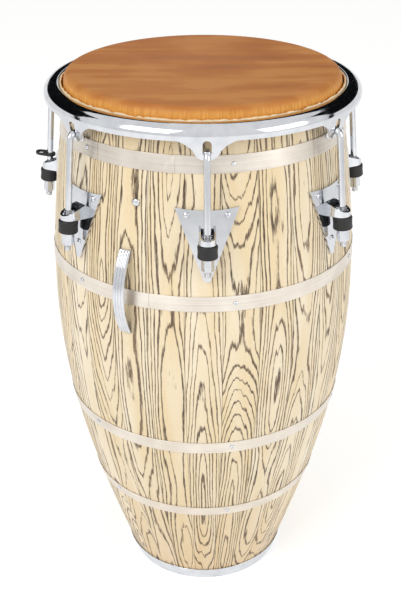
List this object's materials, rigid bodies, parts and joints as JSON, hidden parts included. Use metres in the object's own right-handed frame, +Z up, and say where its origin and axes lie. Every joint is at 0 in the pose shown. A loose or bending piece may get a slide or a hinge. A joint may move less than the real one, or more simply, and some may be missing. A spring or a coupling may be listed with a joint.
{
  "type": "tumba drum",
  "caption": "Tall stave-built hand drum with a hide head, rolled tuning rim, hooks in leaning sleeves, steel stave bands and a metal foot rim.",
  "frame": {"origin": "centre of the foot circle, on the floor, under the drum's axis", "axes": "+Z up along the drum's axis to the head; -Y faces lug 1, lugs numbered round towards +X"},
  "size_m": [0.428, 0.4144, 0.7112],
  "materials": {
    "ash_wood": "brushed open-grain ash, clear satin lacquer over dark filled pores",
    "chrome": "polished chrome plate",
    "brushed_steel": "stainless strip, brushed lengthwise",
    "zinc_steel": "zinc plated",
    "rawhide": "oiled natural hide, soft sheen",
    "rubber": "moulded black rubber, matt"
  },
  "bodies": {
    "drum": {"shell": "ash_wood", "stave_band_1": "brushed_steel", "stave_band_2": "brushed_steel", "stave_band_3": "brushed_steel", "stave_band_4": "brushed_steel", "base_rim": "chrome", "head_skin": "rawhide", "flesh_hoop": "zinc_steel", "lug_plate_1": "chrome", "lug_plate_2": "chrome", "lug_plate_3": "chrome", "lug_plate_4": "chrome", "lug_plate_5": "chrome", "lug_plate_6": "chrome", "lug_plate_7": "chrome", "lug_backing_1": "zinc_steel", "lug_backing_2": "zinc_steel", "lug_backing_3": "zinc_steel", "lug_backing_4": "zinc_steel", "lug_backing_5": "zinc_steel", "lug_backing_6": "zinc_steel", "lug_backing_7": "zinc_steel", "cushion_1": "rubber", "cushion_2": "rubber", "cushion_3": "rubber", "cushion_4": "rubber", "cushion_5": "rubber", "cushion_6": "rubber", "cushion_7": "rubber", "tuning_washer_1": "zinc_steel", "tuning_washer_2": "zinc_steel", "tuning_washer_3": "zinc_steel", "tuning_washer_4": "zinc_steel", "tuning_washer_5": "zinc_steel", "tuning_washer_6": "zinc_steel", "tuning_washer_7": "zinc_steel", "handle": "chrome", "handle_bolt_lower": "zinc_steel", "handle_bolt_upper": "zinc_steel", "stud": "chrome"},
    "rim": {"rim": "chrome"},
    "hook_1": {"tuning_hook_1": "chrome"},
    "nut_1": {"tuning_nut_1": "chrome"},
    "hook_2": {"tuning_hook_2": "chrome"},
    "nut_2": {"tuning_nut_2": "chrome"},
    "hook_3": {"tuning_hook_3": "chrome"},
    "nut_3": {"tuning_nut_3": "chrome"},
    "hook_4": {"tuning_hook_4": "chrome"},
    "nut_4": {"tuning_nut_4": "chrome"},
    "hook_5": {"tuning_hook_5": "chrome"},
    "nut_5": {"tuning_nut_5": "chrome"},
    "hook_6": {"tuning_hook_6": "chrome", "wrench_holder": "rubber"},
    "nut_6": {"tuning_nut_6": "chrome"},
    "hook_7": {"tuning_hook_7": "chrome"},
    "nut_7": {"tuning_nut_7": "chrome"}
  },
  "joints": [
    {"name": "rim_slide", "type": "slide", "parent": "drum", "child": "rim", "axis": [0, 0, 1], "range_m": [0, 0.006]},
    {"name": "hook_1_slide", "type": "slide", "parent": "drum", "child": "hook_1", "axis": [0, 0.0976, 0.9952], "range_m": [0, 0.00604]},
    {"name": "nut_1_turn", "type": "hinge", "parent": "drum", "child": "nut_1", "pos_m": [0, -0.2044, 0.568], "axis": [0, 0.0976, 0.9952], "range_deg": [-1545, 0]},
    {"name": "hook_2_slide", "type": "slide", "parent": "drum", "child": "hook_2", "axis": [-0.0763, 0.0608, 0.9952], "range_m": [0, 0.00604]},
    {"name": "nut_2_turn", "type": "hinge", "parent": "drum", "child": "nut_2", "pos_m": [0.15981, -0.12744, 0.568], "axis": [-0.0763, 0.0608, 0.9952], "range_deg": [-1545, 0]},
    {"name": "hook_3_slide", "type": "slide", "parent": "drum", "child": "hook_3", "axis": [-0.0951, -0.0217, 0.9952], "range_m": [0, 0.00604]},
    {"name": "nut_3_turn", "type": "hinge", "parent": "drum", "child": "nut_3", "pos_m": [0.19928, 0.04548, 0.568], "axis": [-0.0951, -0.0217, 0.9952], "range_deg": [-1545, 0]},
    {"name": "hook_4_slide", "type": "slide", "parent": "drum", "child": "hook_4", "axis": [-0.0423, -0.0879, 0.9952], "range_m": [0, 0.00604]},
    {"name": "nut_4_turn", "type": "hinge", "parent": "drum", "child": "nut_4", "pos_m": [0.08869, 0.18416, 0.568], "axis": [-0.0423, -0.0879, 0.9952], "range_deg": [-1545, 0]},
    {"name": "hook_5_slide", "type": "slide", "parent": "drum", "child": "hook_5", "axis": [0.0423, -0.0879, 0.9952], "range_m": [0, 0.00604]},
    {"name": "nut_5_turn", "type": "hinge", "parent": "drum", "child": "nut_5", "pos_m": [-0.08869, 0.18416, 0.568], "axis": [0.0423, -0.0879, 0.9952], "range_deg": [-1545, 0]},
    {"name": "hook_6_slide", "type": "slide", "parent": "drum", "child": "hook_6", "axis": [0.0951, -0.0217, 0.9952], "range_m": [0, 0.00604]},
    {"name": "nut_6_turn", "type": "hinge", "parent": "drum", "child": "nut_6", "pos_m": [-0.19928, 0.04548, 0.568], "axis": [0.0951, -0.0217, 0.9952], "range_deg": [-1545, 0]},
    {"name": "hook_7_slide", "type": "slide", "parent": "drum", "child": "hook_7", "axis": [0.0763, 0.0608, 0.9952], "range_m": [0, 0.00604]},
    {"name": "nut_7_turn", "type": "hinge", "parent": "drum", "child": "nut_7", "pos_m": [-0.15981, -0.12744, 0.568], "axis": [0.0763, 0.0608, 0.9952], "range_deg": [-1545, 0]}
  ],
  "couplings": [
    {"joint": "hook_1_slide", "follows": "rim_slide", "ratio": 1.0048},
    {"joint": "nut_1_turn", "follows": "rim_slide", "rad_per_m": -4474},
    {"joint": "hook_2_slide", "follows": "rim_slide", "ratio": 1.0048},
    {"joint": "nut_2_turn", "follows": "rim_slide", "rad_per_m": -4474},
    {"joint": "hook_3_slide", "follows": "rim_slide", "ratio": 1.0048},
    {"joint": "nut_3_turn", "follows": "rim_slide", "rad_per_m": -4474},
    {"joint": "hook_4_slide", "follows": "rim_slide", "ratio": 1.0048},
    {"joint": "nut_4_turn", "follows": "rim_slide", "rad_per_m": -4474},
    {"joint": "hook_5_slide", "follows": "rim_slide", "ratio": 1.0048},
    {"joint": "nut_5_turn", "follows": "rim_slide", "rad_per_m": -4474},
    {"joint": "hook_6_slide", "follows": "rim_slide", "ratio": 1.0048},
    {"joint": "nut_6_turn", "follows": "rim_slide", "rad_per_m": -4474},
    {"joint": "hook_7_slide", "follows": "rim_slide", "ratio": 1.0048},
    {"joint": "nut_7_turn", "follows": "rim_slide", "rad_per_m": -4474}
  ]
}
